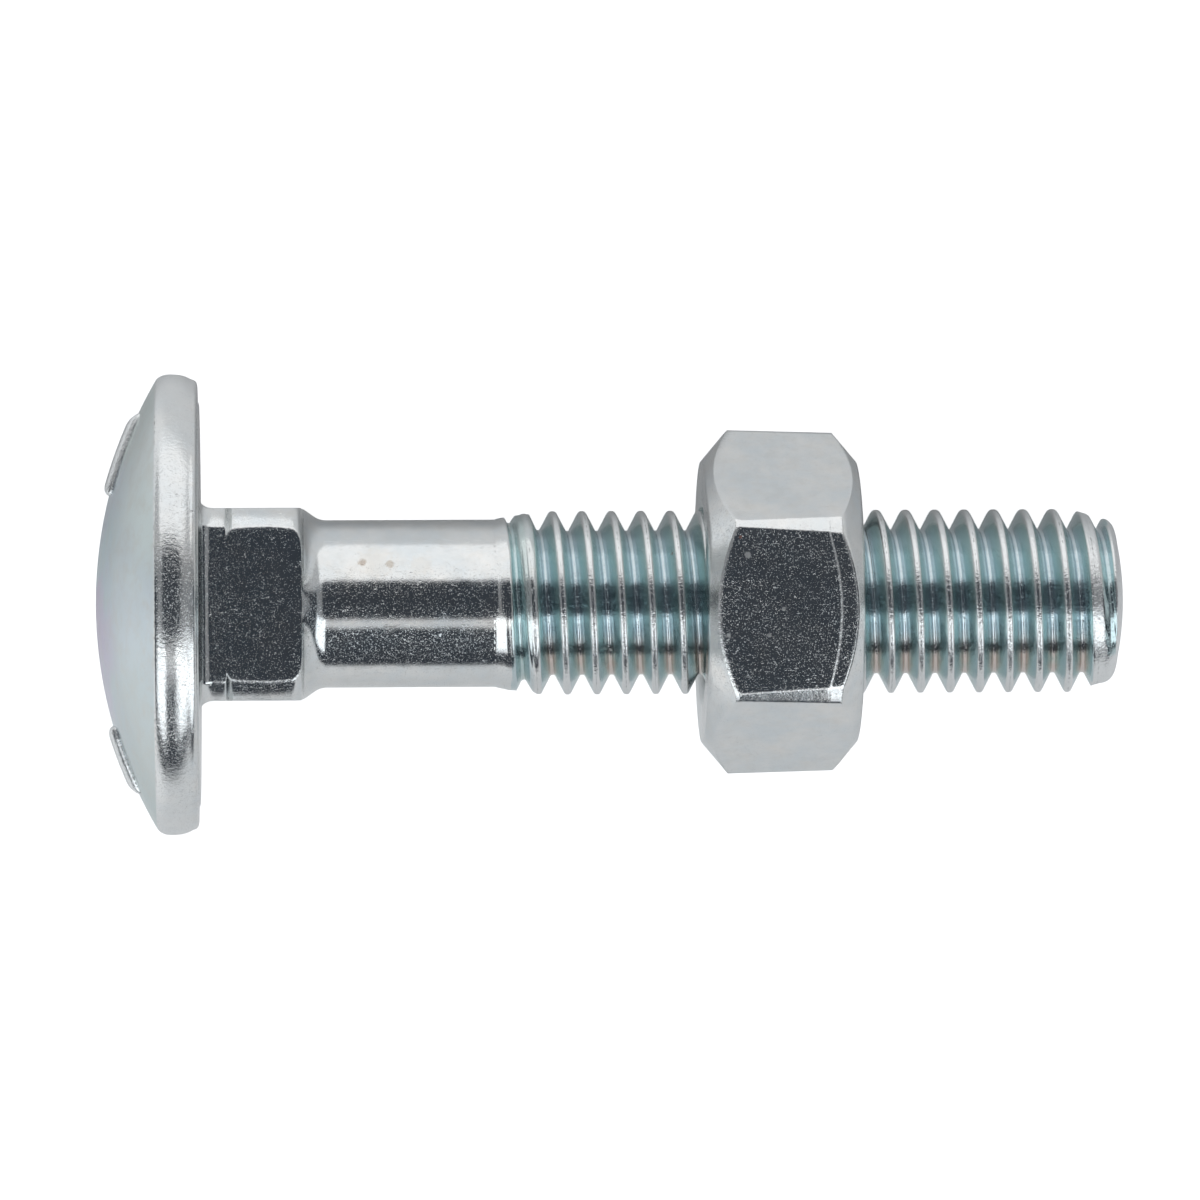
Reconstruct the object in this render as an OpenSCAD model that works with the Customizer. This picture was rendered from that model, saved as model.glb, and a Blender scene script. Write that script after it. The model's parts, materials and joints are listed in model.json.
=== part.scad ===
// Carriage bolt with its hex nut, in millimetres.
// The origin is the centre of the bearing face under the head, on the bolt's axis.
// +X runs from the head to the threaded end and +Z is up. The pair lies as it comes to rest:
// on the rim of the head and on the far edge of one flat of the nut.

/* [Head] */
// Largest diameter of the head
head_d = 19.5; // [18.5:0.1:20.7]
// Height of the head, from its bearing face to the top of the dome
head_h = 4.4; // [3.9:0.1:5.2]
// Thickness of the rim below the dome
rim_t = 1.8; // [1.3:0.1:2.2]
// Distance from the bearing face to the widest line of the rim
rim_widest = 1.2; // [0.7:0.1:1.2]
// Radius of the rim's crown on the dome side
rim_dome_r = 1; // [0.9:0.1:2]
// Radius of the rim's crown on the bearing side
rim_seat_r = 1.9; // [1.4:0.1:3]
// Rounding between the rim and the bearing face
seat_round = 0.25; // [0.1:0.05:0.4]
// Diameter of the raised ring that is the bearing face
seat_ring_d = 17.1; // [16:0.1:18]
// Height of that ring over the edge around it
seat_step = 0.07; // [0.02:0.01:0.2]
// Fillet between the bearing face and the neck
head_fillet = 0.55; // [0.1:0.05:0.6]

/* [Square neck] */
// Width of the neck across its flats
neck_w = 8.1; // [7.9:0.05:8.5]
// Length of the neck, from the bearing face to the end of its flats
neck_l = 4.4; // [4:0.1:5.6]
// Diameter across the neck's rounded corners, at the middle of its length
neck_corner_d = 10.4; // [10.2:0.05:10.8]
// How much smaller the neck is across its corners at the two ends of its drawn length
neck_barrel = 0.1; // [0.05:0.05:0.5]
// Length of the full-cornered band next to the head
neck_band_l = 1.15; // [0.6:0.05:1.6]
// Diameter across the corners of that band
neck_band_d = 10.4; // [10.2:0.05:10.8]
// Rounding of the corners where they start, next to the band
neck_start_round = 0.4; // [0.1:0.05:0.5]
// Rounding of the corners at the end of the square
neck_end_round = 0.45; // [0.1:0.05:0.5]
// How far the corners end short of the flats
neck_end_fall = 0.12; // [0:0.02:0.3]
// Slope of the shoulder between the neck and the shank, from the axis, in degrees
shoulder_angle = 35; // [30:1:55]
// Hollow rounding between the shoulder and the shank
shoulder_round = 0.9; // [0.2:0.1:1]
// Turn of the whole bolt about its axis, against the nut's flats, in degrees
bolt_turn = -3.5; // [-45:0.5:45]

/* [Shank and thread] */
// Length of the bolt under its head
bolt_l = 39.15; // [34:0.05:60]
// Diameter of the plain shank
shank_d = 7.1; // [6.9:0.05:7.3]
// Major diameter of the thread, over its crests
thread_d = 7.8; // [7.6:0.05:8]
// Distance that the thread advances in one turn
thread_pitch = 1.25; // [1:0.05:1.5]
// Distance from the bearing face to the start of the thread's run-out
thread_start = 12.5; // [8:0.1:18]
// Turns over which the thread grows to its full depth
run_out_turns = 1.6; // [1:0.1:3]
// Distance from the bearing face to a crest, measured over one flat of the neck
crest_at = 14.93; // [13:0.01:17]

/* [Point] */
// Length over which the crests taper down to the point
point_l = 2.2; // [1.5:0.1:4]
// Diameter of the point where its taper ends
point_d = 7.05; // [6.6:0.05:7.3]
// Rounding of the point's edge
point_round = 0.6; // [0.3:0.05:0.8]
// Height of the low dome on the end face
point_dome = 0.35; // [0.05:0.05:0.4]
// Distance from the bolt's end to where the last groove has run out
last_groove_end = 0.7; // [0.5:0.1:2]
// Length over which the last groove runs out
last_groove_fade = 0.4; // [0.2:0.1:1]

/* [Nut] */
// Width of the nut across its flats
nut_af = 12.8; // [12.6:0.1:13.6]
// Thickness of the nut
nut_h = 6.55; // [5.5:0.05:8]
// Diameter across the nut's rounded corners
nut_corner_d = 14.62; // [14.3:0.02:14.7]
// Diameter of the flat ring on each face of the nut, inside the chamfer
nut_face_d = 11.95; // [11:0.05:12.4]
// Angle between the nut's face and its chamfer, in degrees
nut_chamfer = 40; // [20:1:45]
// Radial clearance between the thread's crests and the nut's bore
nut_clearance = 0.08; // [0.03:0.01:0.3]
// Diameter of the countersunk mouths of the nut's bore
nut_mouth_d = 8.7; // [8.5:0.1:9.5]
// Distance from the head's bearing face to the nut's near face
nut_from_head = 21.25; // [14:0.05:30]

/* [Fineness] */
// Straight steps in one turn of the thread
thread_steps = 36; // [24:4:48]

/* [Hidden] */
$fn = 96;
head_r = head_d / 2;
shank_r = shank_d / 2;
neck_r = neck_w / 2;
crest_r = thread_d / 2;
point_r = point_d / 2;
nut_bore_r = crest_r + nut_clearance;
nut_face_r = nut_face_d / 2;
// Plating colour of both pieces
zinc = [0.78, 0.81, 0.83];

// Lie of the pair: the floor touches the rim's crown and the far end of the nut's lowest flat.
crown_z = -rim_widest;
crown_r = head_r - rim_seat_r;
flat_end_z = nut_from_head + nut_h - (nut_af / 2 - nut_face_r) * tan(nut_chamfer);
rest_run = flat_end_z - crown_z;
rest_fall = crown_r - nut_af / 2;
dip = atan2(rest_fall, rest_run) + asin(rim_seat_r / norm([rest_run, rest_fall]));

// Straight steps in the arcs of the half-sections: crowns, small edges and fillets, and the dome
crown_steps = 12;
edge_steps = 6;
dome_steps = 40;

// Points of an arc in a half-section, as [radius, height]
function arc(r, z, radius, from, to, steps) =
    [for (i = [0:steps])
        let (a = from + (to - from) * i / steps) [r + radius * cos(a), z + radius * sin(a)]];

// Half-section of the head, from its top along the dome and the crowned rim to the bearing face.
// The dome is a sphere through its top and the edge of the rim.
seat_r = seat_ring_d / 2;
rim_foot = rim_widest - seat_step - seat_round;
rim_dome_edge_r = head_r - rim_dome_r + sqrt(pow(rim_dome_r, 2) - pow(rim_t - rim_widest, 2));
rim_seat_edge_r = crown_r + sqrt(pow(rim_seat_r, 2) - pow(rim_foot, 2));
dome_rise = head_h - rim_t;
dome_r = (pow(rim_dome_edge_r, 2) + pow(dome_rise, 2)) / (2 * dome_rise);
dome_edge_angle = asin(rim_dome_edge_r / dome_r);
rim_edge_angle = asin((rim_t - rim_widest) / rim_dome_r);
rim_foot_angle = asin(rim_foot / rim_seat_r);
function head_profile() = concat(
    [[0, 0], [seat_r, 0], [seat_r, -seat_step]],
    arc(rim_seat_edge_r - seat_round, -seat_step - seat_round, seat_round, 90, 0, edge_steps),
    arc(crown_r, -rim_widest, rim_seat_r, rim_foot_angle, 0, crown_steps),
    arc(head_r - rim_dome_r, -rim_widest, rim_dome_r, 0, -rim_edge_angle, crown_steps),
    arc(0, dome_r - head_h, dome_r, dome_edge_angle - 90, -90, dome_steps));

// Cold-forged head
module head() {
    rotate_extrude() polygon(head_profile());
}

// Hollow fillet that runs from the bearing face up to a wall at the given distance from the axis.
// It starts a hair under the face, and the neck's root reaches down to half the rim's thickness.
fillet_sink = 0.01;
root_depth = rim_t / 2;
function fillet_up(wall) =
    arc(wall + head_fillet, head_fillet - fillet_sink, head_fillet, 270, 180, edge_steps);

// Envelope of the neck's corners: the band, a notch, a slight barrel with a rounded start and a rounded
// end, which the flats outrun
start_sweep = 60;
module neck_envelope() {
    band_r = neck_band_d / 2;
    mid_r = neck_corner_d / 2;
    end_r = mid_r - neck_barrel / 2;
    drawn_start = neck_band_l + neck_start_round * sin(start_sweep);
    drawn_end = neck_l - neck_end_fall - neck_end_round;
    half_l = (drawn_end - drawn_start) / 2;
    barrel_r = (pow(half_l, 2) + pow(neck_barrel / 2, 2)) / neck_barrel;
    sweep = asin(half_l / barrel_r);
    rotate_extrude() polygon(concat(
        [[0, -root_depth], [band_r + head_fillet, -root_depth]],
        fillet_up(band_r),
        [[band_r, neck_band_l]],
        arc(end_r - neck_start_round, drawn_start, neck_start_round, -start_sweep, 0, edge_steps),
        arc(mid_r - barrel_r, drawn_start + half_l, barrel_r, -sweep, sweep, crown_steps),
        arc(end_r - neck_end_round, drawn_end, neck_end_round, 0, 90, edge_steps),
        [[neck_r - neck_end_round, neck_l], [0, neck_l]]));
}

// Two opposite flats of the neck, as one long bar with its fillets
module neck_flats() {
    side = fillet_up(neck_r);
    section = concat([[neck_r + head_fillet, -root_depth]], side, [[neck_r, neck_l]]);
    mirrored = [for (i = [len(section) - 1:-1:0]) [-section[i][0], section[i][1]]];
    rotate([90, 0, 0]) linear_extrude(head_d, center = true) polygon(concat(section, mirrored));
}

// Square neck
module neck() {
    intersection() {
        neck_flats();
        rotate(90) neck_flats();
        neck_envelope();
    }
}

// Plain shank, with the shoulder that leads down to it from just past the end of the neck
shoulder_lap = 0.02;
shoulder_r = neck_r - shoulder_lap;
shoulder_z = neck_l + shoulder_lap;
hollow_rise = shoulder_round * (1 - cos(shoulder_angle));
shoulder_l = (shoulder_r - shank_r - hollow_rise) / tan(shoulder_angle);
hollow_z = shoulder_z + shoulder_l + shoulder_round * sin(shoulder_angle);
module shank() {
    rotate_extrude() polygon(concat(
        [[0, 0], [shoulder_r, 0], [shoulder_r, shoulder_z]],
        arc(shank_r + shoulder_round, hollow_z, shoulder_round, 180 + shoulder_angle, 180, edge_steps),
        [[shank_r, thread_start], [0, thread_start]]));
}

// Thread section over one turn: a flat root, two 30 degree flanks and a crest with broken corners.
flank_angle = 30;
thread_depth = 0.6134 * thread_pitch;
crest_break = 0.08 * thread_pitch;
crest_flat = 0.1 * thread_pitch;
flank_l = (thread_depth - crest_break) * tan(flank_angle);
root_flat = thread_pitch - 2 * flank_l - 2 * crest_break - crest_flat;
root_r = crest_r - thread_depth;
shoulder_crest_r = crest_r - crest_break;
thread_section = [
    [0, root_r],
    [root_flat, root_r],
    [root_flat + flank_l, shoulder_crest_r],
    [root_flat + flank_l + crest_break, crest_r],
    [root_flat + flank_l + crest_break + crest_flat, crest_r],
    [root_flat + flank_l + 2 * crest_break + crest_flat, shoulder_crest_r]];
section_points = len(thread_section);
crest_offset = thread_pitch - flank_l - crest_break - crest_flat / 2;

// The point is a path that every turn is kept inside: a taper, a rounded edge and a low dome, on which
// the turns close in on the centre. Its station is a length along the path, equal to the distance from
// the head up to the rounded edge.
taper_at = bolt_l - point_l;
edge_at = bolt_l - point_dome - point_round;
dome_at = edge_at + point_round * PI / 2;
dome_edge_r = point_r - point_round;
turns_to_centre = 2.4;
dome_l = turns_to_centre * thread_pitch;
function point_angle(station) = min(90, max(0, station - edge_at) / point_round * 180 / PI);
function dome_share(station) = 1 - max(0, station - dome_at) / dome_l;
function point_path_r(station) =
    station < edge_at
    ? crest_r - (crest_r - point_r) * max(0, station - taper_at) / (edge_at - taper_at)
    : dome_edge_r * dome_share(station) + point_round * cos(point_angle(station));
function point_path_z(station) =
    station < edge_at
    ? station
    : edge_at + point_round * sin(point_angle(station)) + point_dome * (1 - pow(dome_share(station), 2));

// Share of its full depth that the groove has left at a station near the point
groove_stop = bolt_l - last_groove_end;
function groove_share(station) = min(1, max(0, groove_stop - station) / last_groove_fade);

// The helix starts just past the end of the shank and a hair under its surface, at the angle that puts
// its crests where crest_at says. It ends on the dome, after more than a whole turn there.
thread_lap = 0.1;
thread_sink = 0.02;
turns_on_dome = 1.1;
run_out_r = shank_r - thread_sink;
helix_start = thread_start + thread_lap;
helix_angle = (helix_start + crest_offset - crest_at) / thread_pitch * 360;
helix_steps = ceil(((dome_at - helix_start) / thread_pitch + turns_on_dome) * thread_steps);
function grown(i, r) = run_out_r + (r - run_out_r) * min(1, i / thread_steps / run_out_turns);
function around(angle, r, z) = [-r * sin(angle), r * cos(angle), z];
function helix_point(i, j) =
    let (foot = helix_start + thread_pitch * i / thread_steps)
    let (station = foot + thread_section[j][0])
    let (path_r = point_path_r(station))
    let (sunk = max(0, path_r - grown(i, thread_section[j][1])) * groove_share(foot))
    around(helix_angle + 360 * i / thread_steps, path_r - sunk, point_path_z(station));

// Threaded length as one closed skin: a ring at the shank, the helical strips and a closing fan on the end.
module thread() {
    ring_n = thread_steps;
    ring_z = thread_start - thread_lap;
    last = section_points - 1;
    points = concat(
        [for (k = [0:ring_n - 1]) around(helix_angle + 360 * k / ring_n, run_out_r, ring_z)],
        [for (i = [0:helix_steps], j = [0:last]) helix_point(i, j)],
        [[0, 0, bolt_l]]);
    apex = len(points) - 1;
    function ring(k) = k % ring_n;
    function skin(i, j) =
        j > last
        ? ring_n + (i + thread_steps) * section_points
        : ring_n + i * section_points + j;
    start_edge = concat([ring(0)], [for (j = [0:last]) skin(0, j)], [skin(thread_steps, 0)]);
    end_first = helix_steps - thread_steps;
    end_edge = concat([skin(end_first, last)], [for (j = [0:last]) skin(helix_steps, j)], [apex]);
    triangles = concat(
        [[for (k = [0:ring_n - 1]) ring(k)]],
        [for (k = [0:ring_n - 2]) [ring(k), skin(k + 1, 0), ring(k + 1)]],
        [for (k = [0:ring_n - 2]) [ring(k), skin(k, 0), skin(k + 1, 0)]],
        [[ring(ring_n - 1), skin(ring_n - 1, 0), ring(0)]],
        [for (e = [0:len(start_edge) - 2]) [start_edge[e + 1], start_edge[e], skin(ring_n - 1, 0)]],
        [for (i = [0:helix_steps - 1], j = [0:last - 1])
            [skin(i, j), skin(i, j + 1), skin(i + 1, j)]],
        [for (i = [0:helix_steps - 1], j = [0:last - 1])
            [skin(i, j + 1), skin(i + 1, j + 1), skin(i + 1, j)]],
        [for (i = [0:end_first - 1]) [skin(i, last), skin(i, last + 1), skin(i + 1, last)]],
        [for (i = [0:end_first - 1]) [skin(i, last + 1), skin(i + 1, last + 1), skin(i + 1, last)]],
        [for (i = [end_first + 1:helix_steps - 1]) [skin(i, last), apex, skin(i + 1, last)]],
        [for (e = [0:len(end_edge) - 2]) [end_edge[e], end_edge[e + 1], skin(end_first + 1, last)]]);
    polyhedron(points, triangles, convexity = 10);
}

// Half-section of the nut: the corners' rounding, the chamfer of both faces, the bore and its mouths
module nut_section() {
    corner_r = nut_corner_d / 2;
    mouth_r = nut_mouth_d / 2;
    chamfer_l = (corner_r - nut_face_r) * tan(nut_chamfer);
    mouth_l = mouth_r - nut_bore_r;
    polygon([
        [nut_bore_r, mouth_l],
        [mouth_r, 0],
        [nut_face_r, 0],
        [corner_r, chamfer_l],
        [corner_r, nut_h - chamfer_l],
        [nut_face_r, nut_h],
        [mouth_r, nut_h],
        [nut_bore_r, nut_h - mouth_l]]);
}

// Hexagon turned so that one flat faces the floor once the nut lies down
half_side_angle = 30;
module hexagon() {
    linear_extrude(nut_h) rotate(half_side_angle) circle(r = nut_af / 2 / cos(half_side_angle), $fn = 6);
}

// Puts a piece that was drawn along +Z on the bolt's axis as it lies
module lay_down() {
    rotate([0, 90 + dip, 0]) children();
}

module bolt() {
    color(zinc) lay_down() rotate(bolt_turn) {
        head();
        neck();
        shank();
        thread();
    }
}

module nut() {
    color(zinc) lay_down() translate([0, 0, nut_from_head]) intersection() {
        hexagon();
        rotate_extrude() nut_section();
    }
}

bolt();
nut();
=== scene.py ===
"""Looks of a zinc-plated carriage bolt with its hex nut, lying on a pale floor.

The axis, the bearing faces and the nut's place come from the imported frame. Sizes are in millimetres
and turn to metres where a mesh is made.
"""
import json
from math import asin, cos, pi, radians, sin, sqrt, tan

import bmesh
import bpy
import numpy as np
from mathutils import Matrix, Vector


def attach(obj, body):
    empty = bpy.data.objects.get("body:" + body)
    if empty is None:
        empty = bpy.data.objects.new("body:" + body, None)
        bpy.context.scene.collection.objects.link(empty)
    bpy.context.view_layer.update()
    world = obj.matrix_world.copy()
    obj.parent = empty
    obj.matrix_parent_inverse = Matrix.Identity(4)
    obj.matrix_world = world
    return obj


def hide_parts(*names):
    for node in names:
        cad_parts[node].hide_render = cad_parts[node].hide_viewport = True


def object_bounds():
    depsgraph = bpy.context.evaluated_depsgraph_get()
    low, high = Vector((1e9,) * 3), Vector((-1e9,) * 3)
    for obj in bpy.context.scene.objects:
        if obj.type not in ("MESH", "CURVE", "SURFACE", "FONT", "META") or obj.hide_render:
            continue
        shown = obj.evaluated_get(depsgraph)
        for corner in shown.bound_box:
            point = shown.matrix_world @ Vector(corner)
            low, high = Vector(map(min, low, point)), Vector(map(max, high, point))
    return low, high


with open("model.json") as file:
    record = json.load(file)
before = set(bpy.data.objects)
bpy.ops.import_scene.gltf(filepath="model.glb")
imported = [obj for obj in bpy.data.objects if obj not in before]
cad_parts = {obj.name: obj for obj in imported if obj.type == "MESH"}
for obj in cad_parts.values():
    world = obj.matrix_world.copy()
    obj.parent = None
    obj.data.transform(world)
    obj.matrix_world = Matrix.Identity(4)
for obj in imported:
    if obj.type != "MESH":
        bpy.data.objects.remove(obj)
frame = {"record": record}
cad_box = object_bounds()

# Bolt: one piece of cold-forged steel, with a low domed head, a square neck under it and a thread rolled
# on the end of its shank. The blank is upset in dies, then the thread is rolled, and all of it is
# zinc plated in a barrel, which leaves it bright, faintly blue and covered in small knocks.
head_mount = next(m for m in frame["record"]["mounts"] if m["name"] == "head_seat")
AXIS = np.array(head_mount["axis"]) / np.linalg.norm(head_mount["axis"])
LEVEL = np.array([0.0, 1.0, 0.0])
RISE = np.cross(AXIS, LEVEL)
BOLT_TURN = radians(-3.5)
NECK_SIDE = LEVEL * cos(BOLT_TURN) + RISE * sin(BOLT_TURN)
NECK_TOP = RISE * cos(BOLT_TURN) - LEVEL * sin(BOLT_TURN)

HEAD_R = 9.75
HEAD_H = 4.4
RIM_T = 1.8
RIM_WIDEST = 1.2
RIM_DOME_R = 1.0
RIM_SEAT_R = 1.9
SEAT_ROUND = 0.25
SEAT_RING_R = 8.55
SEAT_RING_EASE = 0.06
SEAT_STEP = 0.07
CROWN_START = 0.97
CROWN_ROWS = 12
CROWN_POWER = 2.6
FLAT_FILLET = 0.5
CORNER_FILLET = 0.58
CORNER_FROM = 0.3
CORNER_SPAN = 0.35
NECK_W = 8.1
NECK_L = 4.4
NECK_BAND_L = 1.12
NECK_BAND_R = 5.2
NECK_MID_R = 5.2
NECK_BARREL = 0.05
NECK_CORNER_BLEND = 0.05
NECK_START_ROUND = 0.4
NECK_END_ROUND = 0.45
NECK_END_FALL = 0.12
SHOULDER_ANGLE = radians(35)
SHOULDER_ROUND = 0.9
SHANK_R = 3.55
SHANK_DIP = 0.004
SHANK_DIP_L = 0.6
SHANK_END_STEP = 0.3
BOLT_L = 39.15
PITCH = 1.25
CREST_R = 3.9
THREAD_START = 12.5
CREST_AT = 14.935
RUN_OUT_TURNS = 1.6
POINT_L = 2.2
POINT_R = 3.525
POINT_ROUND = 0.6
POINT_DOME = 0.35
LAST_GROOVE_END = 0.62
LAST_GROOVE_FADE = 0.4
ANGLES = 288


def around(station, radius, angle, side, top):
    """Places at a station s, a radius r and an angle w: P = s axis + r (side cos w + top sin w)."""
    station, radius, angle = np.broadcast_arrays(station, radius, angle)
    outward = side * np.cos(angle)[..., None] + top * np.sin(angle)[..., None]
    return AXIS * station[..., None] + outward * radius[..., None]


def lattice(points, first_pole, last_pole, lead=0):
    """Closed surface over a grid of points (row, column). The columns go once around, and the last one meets
    the first one `lead` rows on: 0 makes rings, the rows of one pitch make a helix. A fan closes each end."""
    rows, columns = points.shape[:2]
    index = np.arange(rows * columns).reshape(rows, columns)
    right = np.full((rows, columns), -1)
    right[:, :-1] = index[:, 1:]
    right[:rows - lead, -1] = index[lead:, 0]
    quads = np.stack([index[:-1], right[:-1], right[1:], index[1:]], -1).reshape(-1, 4)
    quads = quads[(quads >= 0).all(1)]
    first_edge = np.concatenate([index[0], index[lead:0:-1, 0]])
    last_edge = np.concatenate([index[-1], index[rows - 1 - lead:rows - 1, -1][::-1]])
    poles = rows * columns
    first_fan = np.stack([np.full(len(first_edge), poles), np.roll(first_edge, -1), first_edge], -1)
    last_fan = np.stack([np.full(len(last_edge), poles + 1), last_edge, np.roll(last_edge, -1)], -1)
    places = np.concatenate([points.reshape(-1, 3), [first_pole, last_pole]])
    return places, quads, np.concatenate([first_fan, last_fan])


# A millimetre in metres, and how close together, in mm, places are one.
MM = 0.001
SAME_PLACE = 0.00002


def make_piece(name, shells):
    """One object from closed shells of (places in mm, quads, triangles, values), smooth shaded, with the rows
    that coincide joined. values is a dict of numbers per place, kept as attributes for the materials."""
    places, corners, sizes, values, start = [], [], [], {}, 0
    for shell_places, quads, triangles, shell_values in shells:
        places.append(shell_places)
        corners += [(quads + start).ravel(), (triangles + start).ravel()]
        sizes += [np.full(len(quads), 4), np.full(len(triangles), 3)]
        for key, value in shell_values.items():
            values.setdefault(key, []).append(value)
        start += len(shell_places)
    places, corners, sizes = np.concatenate(places), np.concatenate(corners), np.concatenate(sizes)
    mesh = bpy.data.meshes.new(name)
    mesh.vertices.add(len(places))
    mesh.vertices.foreach_set("co", (places * MM).ravel())
    mesh.loops.add(len(corners))
    mesh.loops.foreach_set("vertex_index", corners.astype(np.int32))
    mesh.polygons.add(len(sizes))
    mesh.polygons.foreach_set("loop_start", np.concatenate([[0], np.cumsum(sizes)[:-1]]).astype(np.int32))
    for key, parts in values.items():
        attribute = mesh.attributes.new(key, "FLOAT", "POINT")
        attribute.data.foreach_set("value", np.concatenate(parts).astype(np.float32))
    mesh.update(calc_edges=True)
    joined = bmesh.new()
    joined.from_mesh(mesh)
    bmesh.ops.dissolve_degenerate(joined, dist=SAME_PLACE * MM, edges=joined.edges)
    joined.to_mesh(mesh)
    joined.free()
    mesh.validate()
    mesh.shade_smooth()
    piece = bpy.data.objects.new(name, mesh)
    bpy.context.scene.collection.objects.link(piece)
    return piece


def soft_least(a, b, blend):
    """The lesser of a and b, rounded over where they are within `blend` of each other:
    h = (1/2 + (b - a) / 2 blend) kept from 0 to 1, and b + (a - b) h - blend h (1 - h)."""
    share = np.clip(0.5 + 0.5 * (b - a) / blend, 0, 1)
    return b + (a - b) * share - blend * share * (1 - share)


def arc(centre_r, centre_s, radius, start, end, steps):
    """Rows (station, radius) along an arc of a half-section: s = cs + R sin q, r = cr + R cos q."""
    turn = np.linspace(start, end, steps)
    return np.stack([centre_s + radius * np.sin(turn), centre_r + radius * np.cos(turn)], -1)


def even_angles(count, marks, crowd, width):
    """Angles once around, crowded near the marks: their density is 1 + crowd sum exp(-(d / width)^2)."""
    fine = np.linspace(0, 2 * pi, 20001)
    away = np.abs((fine[:, None] - np.asarray(marks)[None, :] + pi) % (2 * pi) - pi)
    density = 1 + crowd * np.exp(-(away / width) ** 2).sum(1)
    total = np.concatenate([[0], np.cumsum((density[1:] + density[:-1]) / 2)])
    return np.interp(np.arange(count) / count, total / total[-1], fine)


neck_corner = np.arccos(NECK_W / 2 / NECK_MID_R)
neck_marks = [quarter * pi / 2 + sign * neck_corner for quarter in range(4) for sign in (-1, 1)]
neck_angles = even_angles(ANGLES, neck_marks, 3, 0.09)


def square_r(corner):
    """Radius of the neck's square at each angle: that of its flats, cut by the circle of its corners."""
    from_flat = (neck_angles[None, :] + pi / 4) % (pi / 2) - pi / 4
    flat = NECK_W / 2 / np.cos(from_flat)
    return soft_least(flat, np.asarray(corner)[..., None] * np.ones_like(flat), NECK_CORNER_BLEND)


# Rows of the blank: the dome, the rim's crown, the bearing face, the neck, the shoulder and the shank.
rim_edge_r = HEAD_R - RIM_DOME_R + sqrt(RIM_DOME_R ** 2 - (RIM_T - RIM_WIDEST) ** 2)
dome_rise = HEAD_H - RIM_T
dome_r = (rim_edge_r ** 2 + dome_rise ** 2) / (2 * dome_rise)
dome_end = -pi / 2 + asin(rim_edge_r / dome_r)
rim_foot = RIM_WIDEST - SEAT_STEP - SEAT_ROUND
foot_r = HEAD_R - RIM_SEAT_R + sqrt(RIM_SEAT_R ** 2 - rim_foot ** 2)
# From its widest row the rim's crown falls to the dome on one side and to the bearing face on the other.
crown = np.linspace(CROWN_START, 0, CROWN_ROWS)
crown_fall = crown ** CROWN_POWER
dome_rows = arc(0, dome_r - HEAD_H, dome_r, -pi / 2 + 0.02, dome_end - 0.014, 30)
dome_edge_rows = arc(0, dome_r - HEAD_H, dome_r, dome_end - 0.006, dome_end - 0.001, 2)
crown_rows = np.stack([
    -RIM_WIDEST - crown * (RIM_T - RIM_WIDEST),
    HEAD_R - crown_fall * (HEAD_R - rim_edge_r)], -1)
rim_seat_rows = np.stack([
    -RIM_WIDEST + crown * rim_foot,
    HEAD_R - crown_fall * (HEAD_R - foot_r)], -1)[-2::-1]
seat_inner_r = SEAT_RING_R - SEAT_RING_EASE
head_rows = np.concatenate([
    dome_rows,
    dome_edge_rows,
    crown_rows,
    rim_seat_rows,
    arc(foot_r - SEAT_ROUND, -SEAT_STEP - SEAT_ROUND, SEAT_ROUND, 0.1, pi / 2, 5),
    [[-SEAT_STEP, 9.0], [-SEAT_STEP, SEAT_RING_R + SEAT_RING_EASE], [-SEAT_STEP + 0.015, SEAT_RING_R + 0.01],
     [-0.015, SEAT_RING_R - 0.02], [0, seat_inner_r]]])
head_grid = around(head_rows[:, :1], head_rows[:, 1:], neck_angles, NECK_SIDE, NECK_TOP)
edge_row = len(dome_rows) + len(dome_edge_rows) - 1
rim_last = edge_row + len(crown_rows) + len(rim_seat_rows)

# The fillet under the head is wider at the neck's corners than at its flats.
from_flat = np.abs((neck_angles + pi / 4) % (pi / 2) - pi / 4)
on_corner = np.clip((from_flat - CORNER_FROM) / CORNER_SPAN, 0, 1)
fillet = FLAT_FILLET + (CORNER_FILLET - FLAT_FILLET) * on_corner
band_r = square_r(NECK_BAND_R)
face_share = np.linspace(0.1, 1, 6)[:, None]
face_r = seat_inner_r * (1 - face_share) + (band_r + fillet) * face_share
fillet_turn = np.linspace(0.15, pi / 2, 9)[:, None]
fillet_r = band_r + fillet * (1 - np.sin(fillet_turn))
fillet_s = fillet * (1 - np.cos(fillet_turn))

# The drawn part of the neck is a little barrelled between a plain band at the head and a rounded end.
start_sweep = radians(60)
drawn_start = NECK_BAND_L + NECK_START_ROUND * sin(start_sweep)
drawn_end = NECK_L - NECK_END_FALL - NECK_END_ROUND
end_r = NECK_MID_R - NECK_BARREL
band_rows = np.array([[0.66, NECK_BAND_R], [0.85, NECK_BAND_R], [NECK_BAND_L - 0.08, NECK_BAND_R],
                      [NECK_BAND_L - 0.03, NECK_BAND_R - 0.02], [NECK_BAND_L, NECK_BAND_R - 0.08]])
barrel_s = np.linspace(drawn_start + 0.05, drawn_end - 0.05, 14)
middle = (drawn_start + drawn_end) / 2
barrel_r = NECK_MID_R - NECK_BARREL * ((barrel_s - middle) / (drawn_end - middle)) ** 2
neck_rows = np.concatenate([
    band_rows,
    arc(end_r - NECK_START_ROUND, drawn_start, NECK_START_ROUND, -start_sweep + 0.05, 0, 9),
    np.stack([barrel_s, barrel_r], -1),
    arc(end_r - NECK_END_ROUND, drawn_end, NECK_END_ROUND, 0, pi / 2, 9)])
neck_s = neck_rows[:, 0]
neck_r = square_r(neck_rows[:, 1])

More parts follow.
